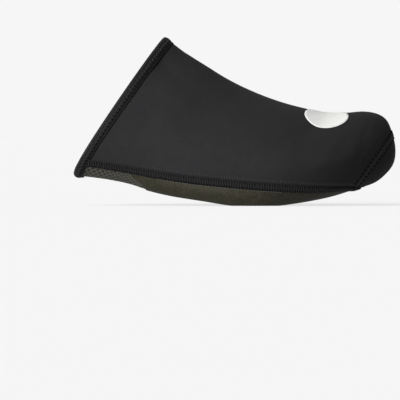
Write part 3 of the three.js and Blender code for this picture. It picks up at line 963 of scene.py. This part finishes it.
def under_grid(courses, u, cols):
    """v over the underside from one side's sole seam to the other's, at rows u."""
    start = courses.seam(u)
    start = np.minimum(start + gap_around(u, start), 0.999)
    return wrapped(start + 2 * (1 - start) * np.linspace(0, 1, cols)[None, :])


STRAP_EDGE_AT = 0.7  # v of one place on the line between sole and strap


def strap_edge(courses, cols):
    """u along the line where sole and strap meet, so that no light comes through."""
    near = np.full((1, 1), courses.strap(STRAP_EDGE_AT))
    return courses.strap(under_grid(courses, near, cols)) + gap_along()


SEAM_TO_MIDDLE = 46  # about how far the sole's middle is from its seams, in millimetres
PALER_LINE = (4.5, 3.4, 0.36, 0.2)  # where the sole is paler along the seam: millimetres from the seam, spread, share of the length, spread
PALER_STRENGTH = 0.34
SHADED_CORNER = (3.2, 0.2, 0.75)  # millimetres from the seam, share of the length, strength
SHADED_FRONT = (0.5, 3.2, 0.7)  # share of the length where it starts, rise over the length, strength


class TOECOVER_OT_sole(ToeCoverOperator, bpy.types.Operator):
    """Builds the coated sole with its cleat opening"""

    bl_idname = "toe_cover.sole"
    bl_label = "Sole"

    def execute(self, context):
        courses = Courses()
        count, cols = SOLE_GRID
        rows = np.linspace(0, 1, count)[:, None]
        start = strap_edge(courses, cols)
        front = courses.front_u - gap_along()
        u = start + rows * (front - start)
        u, v = np.broadcast_arrays(u, under_grid(courses, u, cols))
        outer, inner = offset(u, v, 0), offset(u, v, -self.sizes.sole_wall)
        from_seam = (1 - np.abs(np.linspace(-1, 1, cols))[None, :]) * SEAM_TO_MIDDLE
        beside, spread, ahead, length = PALER_LINE
        paler_near_seam = np.exp(-(((from_seam - beside) / spread) ** 2) - ((rows - ahead) / length) ** 2) * PALER_STRENGTH
        ahead, slope, strength = SHADED_FRONT
        shaded = np.clip((rows - ahead) * slope, 0, strength) + 0 * from_seam
        spread, length, strength = SHADED_CORNER
        shaded += np.exp(-((from_seam / spread) ** 2) - (rows / length) ** 2) * strength
        piece = wall("sole_cloth", outer, inner, marks={"paler_near_seam": paler_near_seam, "shaded": shaded}, lined=True)
        cut_opening(piece)
        finish_piece(piece, "sole", ["sole"], coated_sole_cloth(self.colours.sole[:]), fleece_lining())
        return {"FINISHED"}


DIMPLE_DEPTH = 0.00035
DIMPLE_ROWS = 0.79  # between rows, as a share of the pitch
DIMPLE_RADIUS = 0.27  # as a share of the pitch
DIMPLE_EDGE = 6  # how sharply a dimple starts


def dimples(uv, pitch):
    """How deep staggered round dimples are at these distances over the cloth, from 0 to 1."""
    column_gap, row_gap, radius = pitch / 2, pitch * DIMPLE_ROWS, pitch * DIMPLE_RADIUS
    column_number = np.round(uv[..., 0] / column_gap)
    place = uv[..., 1] / (2 * row_gap) - np.where(column_number % 2 == 0, 0, 0.5)
    across = (place - np.round(place)) * 2 * row_gap
    along = uv[..., 0] - column_number * column_gap
    return 1 / (1 + np.exp((np.hypot(across, along) / radius - 1) * DIMPLE_EDGE))


class TOECOVER_OT_arch_strap(ToeCoverOperator, bpy.types.Operator):
    """Builds the dimpled grip strap under the arch"""

    bl_idname = "toe_cover.arch_strap"
    bl_label = "Arch strap"

    def execute(self, context):
        courses = Courses()
        count, cols = STRAP_GRID
        rows = np.linspace(0, 1, count)[:, None]
        u = courses.start_u + rows * (strap_edge(courses, cols) - courses.start_u)
        u, v = np.broadcast_arrays(u, under_grid(courses, u, cols))
        depth = dimples(grid_uv(surface(u, v)), self.sizes.dimple_pitch)
        face = -self.sizes.strap_inset
        outer, inner = face - DIMPLE_DEPTH * depth, face - self.sizes.sole_wall
        grip = dimpled_grip_cloth(self.colours.strap[:])
        lined_cloth("arch_strap_cloth", "arch_strap", u, v, outer, inner, grip, marks={"dimple": depth})
        return {"FINISHED"}


def ring_faces(number, turned=False):
    """The faces of a grid of point numbers that closes both ways."""
    ahead, beside = np.roll(number, -1, 0), np.roll(number, -1, 1)
    both = np.roll(ahead, -1, 1)
    corners = [number, ahead, both, beside] if turned else [number, beside, both, ahead]
    return without_folds(np.stack(corners, -1).reshape(-1, 4).tolist())


def rounded_square(wave):
    """From 0 to 1 along a wave, with flat faces and round corners."""
    return (1 + np.sign(wave) * np.abs(wave) ** 0.6) / 2


class TOECOVER_OT_cleat_binding(ToeCoverOperator, bpy.types.Operator):
    """Builds the folded binding round the cleat opening, with its overlock stitches"""

    bl_idname = "toe_cover.cleat_binding"
    bl_label = "Cleat opening binding"

    def execute(self, context):
        edge, away = opening_outline(0, 26)
        lift, thick = BINDING_LIFT, self.sizes.sole_wall + BINDING_SWELL
        turn = np.linspace(0, 2 * math.pi, 20, endpoint=False)
        across = BINDING_WIDTH * rounded_square(np.cos(turn))
        height = lift + (thick - lift) * rounded_square(np.sin(turn))
        ring = edge[:, None, :] + away[:, None, :] * across[None, :, None]
        z = underside(ring[..., 0]) + height[None, :]
        points = np.concatenate([ring, z[..., None]], -1).reshape(-1, 3)
        faces = ring_faces(np.arange(z.size).reshape(z.shape), turned=True)
        piece = make_mesh("cleat_binding_tape", points, faces)
        finish_piece(piece, "binding", ["cleat_binding"], knitted_hem(self.colours.hem[:]))
        middle, _ = opening_outline(BINDING_WIDTH / 2, 26)
        low = underside(middle[:, 0])
        under, inside = (np.concatenate([middle, (low + up)[:, None]], 1) for up in (lift, thick))
        down = np.tile([0.0, 0.0, -1.0], (len(middle), 1))
        thread = spun_thread("binding_thread", shade(self.colours.thread[:], 1.5))
        overlock = (1.7 * MM, 0.6 * MM, BINDING_WIDTH * 0.86, 0.4 * MM)
        lines = [(under, down, True), (inside, -down, True)]
        sew("cleat_binding_stitches", "binding", lines, thread, overlock, Turn=0.25)
        return {"FINISHED"}


# Where the topstitches press the hem in, in millimetres: place, half width and depth
PRESSED_LINES = ((4.9, 0.35, 0.30), (6.1, 0.5, 0.35))


class TOECOVER_OT_collar_hem(ToeCoverOperator, bpy.types.Operator):
    """Builds the collar's folded hem with its zigzag and topstitches"""

    bl_idname = "toe_cover.collar_hem"
    bl_label = "Collar hem"

    def execute(self, context):
        sizes = self.sizes
        outer, inner = sizes.hem_swell, -sizes.wall - sizes.hem_swell
        middle, radius = (outer + inner) / 2, (outer - inner) / 2
        flat = np.linspace(sizes.hem_width, radius, 22)
        pressed = sum(
            np.exp(-(((flat - place * MM) / (half * MM)) ** 2)) * depth * MM
            for place, half, depth in PRESSED_LINES
        )
        turn = np.linspace(0, math.pi, 13)[1:-1]
        distance = np.concatenate([flat, radius * (1 - np.sin(turn)), flat[::-3]])
        out = [outer - pressed, middle + radius * np.cos(turn), np.full(len(flat[::-3]), inner)]
        v = np.linspace(-1, 1, 241)[:-1]
        out = np.concatenate(out)
        u = from_collar(distance)
        points = offset(u[:, None], v[None, :], out[:, None])
        number = np.arange(points[..., 0].size).reshape(points.shape[:2])
        piece = make_mesh("collar_hem_fold", points.reshape(-1, 3), ring_faces(number))
        finish_piece(piece, "hem", ["collar_hem"], knitted_hem(self.colours.hem[:]))

        def ring(from_edge, out_mm=0.0):
            u = np.full(v.shape, from_collar(from_edge * MM))
            return course_line(u, v, outer + out_mm * MM, True)

        zigzag = spun_thread("hem_zigzag_thread", srgb("#1d1d1f"))
        dark = spun_thread("hem_dark_thread_and_hole_shade", srgb("#040404"), 0.9, 0.01)
        sew("collar_hem_zigzag", "hem", [ring(2.9)], zigzag, mm(1.25, 2.7, 0.46, 0.5), Swing=0.95)
        # The near-black beads sunk at the needle holes are painted shade in the holes.
        holes = [ring(2.0, -0.04), ring(3.95, -0.04)]
        sew("collar_hem_needle_holes", "hem", holes, dark, mm(2.5, 1.1, 0.85, 0.34))
        lines = [ring(4.95, -0.28), ring(6.05, -0.30)]
        sew("collar_hem_topstitch", "hem", lines, dark, mm(1.9, 2.1, 0.42, 0.4))
        return {"FINISHED"}


BAND_EDGE = 0.0001  # how high the edge of a seam band stands
BAND_SUNK = 0.00014  # how thick it is there
BAND_FLATNESS = 3.5


def flatlock(name, u, v, cloth, rise, rungs, dashes, ink):
    """A flatlock seam along a course: a pressed band, rungs across it and two rows of dark needle thread.

    rungs: width as a share of half the band, and rise. dashes: pitch, share of it that is thread, and the
    rows' places as a share of half the band.
    """
    half = cover_sizes().flatlock_width / 2
    share = np.linspace(-1, 1, 15)
    crown = rise - (rise - BAND_EDGE) * np.abs(share) ** BAND_FLATNESS
    sides = [sideways_places(u, v, s * half) for s in share[::-1]]
    su, sv = (np.stack([side[k] for side in sides], 1) for k in range(2))
    outer = offset(su, sv, crown[None, :])
    inner = offset(su, sv, BAND_EDGE - BAND_SUNK)
    finish_piece(wall(name + "_band", outer, inner), "seam_thread", [name], cloth)
    pitch = cover_sizes().stitch_pitch
    thread = spun_thread("flatlock_rung_thread", shade(cover_colours().thread[:], 1.35))
    sizes = (pitch, pitch * 0.46, half * rungs[0], rungs[1])
    line = [course_line(u, v, rise)]
    sew(name + "_rungs", "seam_thread", line, thread, sizes, Turn=0.12, Unevenness=0.12)
    pitch, filled, apart = dashes
    thread = spun_thread(name + "_needle_thread", ink, 0.9, 0.01)
    rows = (sideways_places(u, v, side * half) for side in (-apart, apart))
    lines = [course_line(*row, rise - 0.05 * MM) for row in rows]
    sizes = (pitch, pitch * filled, half * 0.46, 0.4 * MM)
    sew(name + "_needle_rows", "seam_thread", lines, thread, sizes)


LOOPS_AT = (-1.35, -0.056)  # beside the seam, in halves of the band's width, and the X where they start
EDGE_STITCHES_AT = (-0.046, 0.027)  # X between which the sole's pale edge stitches show


class TOECOVER_OT_sole_seam(ToeCoverOperator, bpy.types.Operator):
    """Builds the flatlock seam between upper and sole"""

    bl_idname = "toe_cover.sole_seam"
    bl_label = "Sole seam"

    def execute(self, context):
        courses = Courses()
        sizes = self.sizes
        keep = courses.seam_u > from_collar(sizes.hem_width + 2 * sizes.sewn_gap)
        u = np.append(courses.seam_u[keep], [courses.front_u, courses.front_u])
        v = np.append(courses.seam_v[keep], [TREAD_AT, 1.0])
        u, v = softened(*even_course(*both_sides(u, v, 2), 1.0 * MM), 6)
        cloth = spun_thread("flatlock_base_thread", srgb("#101011"), 0.8, 0.05)
        rise = sizes.sewn_gap + sizes.flatlock_rise * 0.6
        dashes = (sizes.stitch_pitch, 0.76, 0.5)
        flatlock("sole_seam", u, v, cloth, rise, (1.7, 0.56 * MM), dashes, srgb("#030303"))
        self.cover_loops(u, v)
        self.edge_stitches(courses)
        return {"FINISHED"}

    def cover_loops(self, u, v):
        """The loops of thread that reach from the band onto the upper, but not at its two rear ends."""
        half = self.sizes.flatlock_width / 2
        keep = surface(u, v)[:, 0] > LOOPS_AT[1]
        u, v = sideways_places(u[keep], v[keep], LOOPS_AT[0] * half)
        line = (offset(u, v, creases(surface(u, v)) + 0.02 * MM), normals(u, v), False)
        thread = spun_thread("flatlock_loop_thread", shade(self.colours.thread[:], 1.7))
        pitch = self.sizes.stitch_pitch
        sizes = (pitch, pitch * 0.5, half * 0.95, 0.4 * MM)
        sew("sole_seam_loops", "seam_thread", [line], thread, sizes, Unevenness=0.12)

    def edge_stitches(self, courses):
        """The pale stitches along the sole's edge, in the middle of both sides."""
        x = surface(courses.seam_u, courses.seam_v)[:, 0]
        keep = (x > EDGE_STITCHES_AT[0]) & (x < EDGE_STITCHES_AT[1])
        u, v = courses.seam_u[keep], courses.seam_v[keep]
        edge = self.sizes.flatlock_width / 2 + 0.2 * MM
        lines = [course_line(*sideways_places(u, v * s, s * edge), 0.06 * MM) for s in (-1, 1)]
        thread = spun_thread("pale_edge_thread", srgb("#403f38"))
        sizes = mm(1.9, 1.7, 0.45, 0.34)
        sew("sole_edge_stitches", "seam_thread", lines, thread, sizes, Unevenness=0.08)


TOE_SEAM_STOP = 0.035  # of v, from the end of the toe seam to the middle of the sole seam


class TOECOVER_OT_toe_seam(ToeCoverOperator, bpy.types.Operator):
    """Builds the flatlock seam round the toe panel"""

    bl_idname = "toe_cover.toe_seam"
    bl_label = "Toe seam"

    def execute(self, context):
        courses = Courses()
        keep = courses.toe_v < courses.join_v - TOE_SEAM_STOP
        u, v = both_sides(courses.toe_u[keep], courses.toe_v[keep])
        u, v = even_course(u, v, 1.5 * MM)
        colour = shade(self.colours.toe[:], 1.1)
        cloth = neoprene_jersey("pressed_knit_faced_neoprene", colour, 0.85, 0.01)
        dashes = (2.6 * MM, 0.62, 0.8)
        flatlock("toe_seam", u, v, cloth, 0.32 * MM, (1.1, 0.3 * MM), dashes, srgb("#060606"))
        return {"FINISHED"}


BADGE_FROM_TOE = 0.0403
BADGE_LEAN = 0.0085
BADGE_GAP = 0.00012
BADGE_THICK = 0.00022


class TOECOVER_OT_badge(ToeCoverOperator, bpy.types.Operator):
    """Builds the round reflective badge, which is left bare"""

    bl_idname = "toe_cover.badge"
    bl_label = "Badge"

    def execute(self, context):
        middle = self.sizes.length / 2 - BADGE_FROM_TOE
        fine_u = np.linspace(0.5, 1, 800)
        ridge_x = spine(fine_u)[1][:, 0]
        fine_v = np.linspace(0, 0.6, 400)

        def place(x, y):
            u = np.interp(x, ridge_x, fine_u)
            over = y - BADGE_LEAN
            found = np.empty(u.shape)
            for k, (here, distance) in enumerate(zip(u, over)):
                line = surface(np.full(fine_v.shape, here), fine_v)
                found[k] = np.sign(distance) * np.interp(abs(distance), travelled(line), fine_v)
            return u, found

        spokes = 72
        turn = np.linspace(0, 2 * math.pi, spokes, endpoint=False)
        radius = self.sizes.badge_diameter / 2
        rim = 0.05 * MM
        profile = [(radius, 0.0), (radius, BADGE_THICK - rim), (radius - rim, BADGE_THICK)]
        profile += [(radius * share, BADGE_THICK) for share in (0.9, 0.8, 0.68, 0.54, 0.4, 0.26, 0.13, 0)]
        profile += [(radius * share, 0.0) for share in (0, 0.3, 0.6, 0.85)]
        number = np.arange(len(profile) * spokes).reshape(-1, spokes)
        rings = []
        for row, (r, out) in enumerate(profile):
            u, v = place(middle + r * np.cos(turn), r * np.sin(turn))
            rings.append(offset(u, v, creases(surface(u, v)) + BADGE_GAP + out))
            if r == 0:
                number[row] = number[row, 0]
        piece = make_mesh("badge_disc", np.array(rings).reshape(-1, 3), ring_faces(number))
        drop_loose(piece)
        finish_piece(piece, "badge", ["badge"], reflective_transfer(self.colours.badge[:]))
        return {"FINISHED"}


# The stage, as the photograph's frame of 400 by 400 pixels has it
FRAME_WIDTH = 0.2371  # what the frame spans at the cover's middle plane
AIM = (-0.0209, 0.0, 0.0031)  # what the middle of the frame shows
LENS = 600.0
SENSOR = 36.0
ELEVATION = 0.6
PALE = "#f6f6f6"
OVERHEAD = "#a4a4a4"
FAR_WALL = 0.35  # how bright the wall on the toe's side is beside the others
# strength of the floor's painted glow
FLOOR_GLOW = 0.75
FLOOR_REACH = 40.0
# Lamps: name, direction that they shine in, spread in degrees, strength
LAMPS = (("key_light", (1.05, 0.95, -0.38), 60, 10.4), ("back_light", (0.6, -1.0, -0.5), 60, 0.6))


class TOECOVER_OT_studio(ToeCoverOperator, bpy.types.Operator):
    """Builds the pale floor, the soft lights and the camera"""

    bl_idname = "toe_cover.studio"
    bl_label = "Studio"

    def execute(self, context):
        scene = context.scene
        self.floor()
        for name, toward, spread, strength in LAMPS:
            lamp = bpy.data.lights.new(name, "SUN")
            lamp.angle = math.radians(spread)
            lamp.energy = strength
            put(name, lamp).rotation_euler = Vector(toward).to_track_quat("-Z", "Y").to_euler()
        scene.world = self.surroundings()
        camera = bpy.data.cameras.new("camera")
        camera.lens = LENS
        camera.sensor_width = SENSOR
        camera.clip_start, camera.clip_end = 0.05, 120
        scene.camera = put("camera", camera)
        tilt = math.radians(ELEVATION)
        back = Vector((0, -math.cos(tilt), math.sin(tilt)))
        scene.camera.location = Vector(AIM) + back * (FRAME_WIDTH * LENS / SENSOR)
        scene.camera.rotation_euler = (-back).to_track_quat("-Z", "Y").to_euler()
        scene.view_settings.view_transform = "Standard"
        return {"FINISHED"}

    def surroundings(self):
        """A pale studio all round, darker overhead and on the toe's side, which the lamps don't reach."""
        world = bpy.data.worlds.new("pale_studio")
        world.use_nodes = True
        tree = world.node_tree
        direction = add_node(tree, "ShaderNodeTexCoord").outputs["Generated"]
        parts = add_node(tree, "ShaderNodeSeparateXYZ", None, {"Vector": direction}).outputs
        height = ramp(tree, parts["Z"], (0.25, srgb(PALE)), (0.6, srgb(OVERHEAD)))
        side = tones(tree, parts["X"], (1, 1, 1), (0.1, 1), (0.8, FAR_WALL))
        tone = mix(tree, 1.0, height, side, "MULTIPLY")
        tree.links.new(tone, tree.nodes["Background"].inputs["Color"])
        return world

    def floor(self):
        """A level floor so wide that it meets the pale surroundings where both look the same."""
        steps = (-FLOOR_REACH, -1.0, 1.0, FLOOR_REACH)
        points = [(x, y, 0.0) for y in steps for x in steps]
        starts = [4 * j + i for j in range(3) for i in range(3)]
        table = make_mesh("studio_floor", points, [[k, k + 1, k + 5, k + 4] for k in starts])
        table.data.materials.append(painted_light_floor(self.colours.floor[:]))


class TOECOVER_PT_panel(bpy.types.Panel):
    """Lists the cover's pieces in the sidebar"""

    bl_idname = "TOECOVER_PT_panel"
    bl_label = "Toe Cover"
    bl_space_type = "VIEW_3D"
    bl_region_type = "UI"
    bl_category = "Toe Cover"

    def draw(self, context):
        for operator in OPERATORS:
            self.layout.operator(operator.bl_idname)
        for group in (cover_sizes(), cover_colours()):
            box = self.layout.box()
            for name in group.bl_rna.properties.keys():
                if name not in {"name", "rna_type"}:
                    box.prop(group, name)


OPERATORS = (
    TOECOVER_OT_upper,
    TOECOVER_OT_toe_panel,
    TOECOVER_OT_sole,
    TOECOVER_OT_arch_strap,
    TOECOVER_OT_cleat_binding,
    TOECOVER_OT_collar_hem,
    TOECOVER_OT_sole_seam,
    TOECOVER_OT_toe_seam,
    TOECOVER_OT_badge,
    TOECOVER_OT_studio,
)
CLASSES = (ToeCoverSizes, ToeCoverColours, *OPERATORS, TOECOVER_PT_panel)


def register():
    for kind in CLASSES:
        bpy.utils.register_class(kind)
    bpy.types.Scene.toe_cover_sizes = PointerProperty(type=ToeCoverSizes)
    bpy.types.Scene.toe_cover_colours = PointerProperty(type=ToeCoverColours)


def unregister():
    del bpy.types.Scene.toe_cover_colours
    del bpy.types.Scene.toe_cover_sizes
    for kind in reversed(CLASSES):
        bpy.utils.unregister_class(kind)


def main():
    register()
    bpy.ops.toe_cover.upper()
    bpy.ops.toe_cover.toe_panel()
    bpy.ops.toe_cover.sole()
    bpy.ops.toe_cover.arch_strap()
    bpy.ops.toe_cover.cleat_binding()
    bpy.ops.toe_cover.collar_hem()
    bpy.ops.toe_cover.sole_seam()
    bpy.ops.toe_cover.toe_seam()
    bpy.ops.toe_cover.badge()
    bpy.ops.toe_cover.studio()


if __name__ == "__main__":
    main()
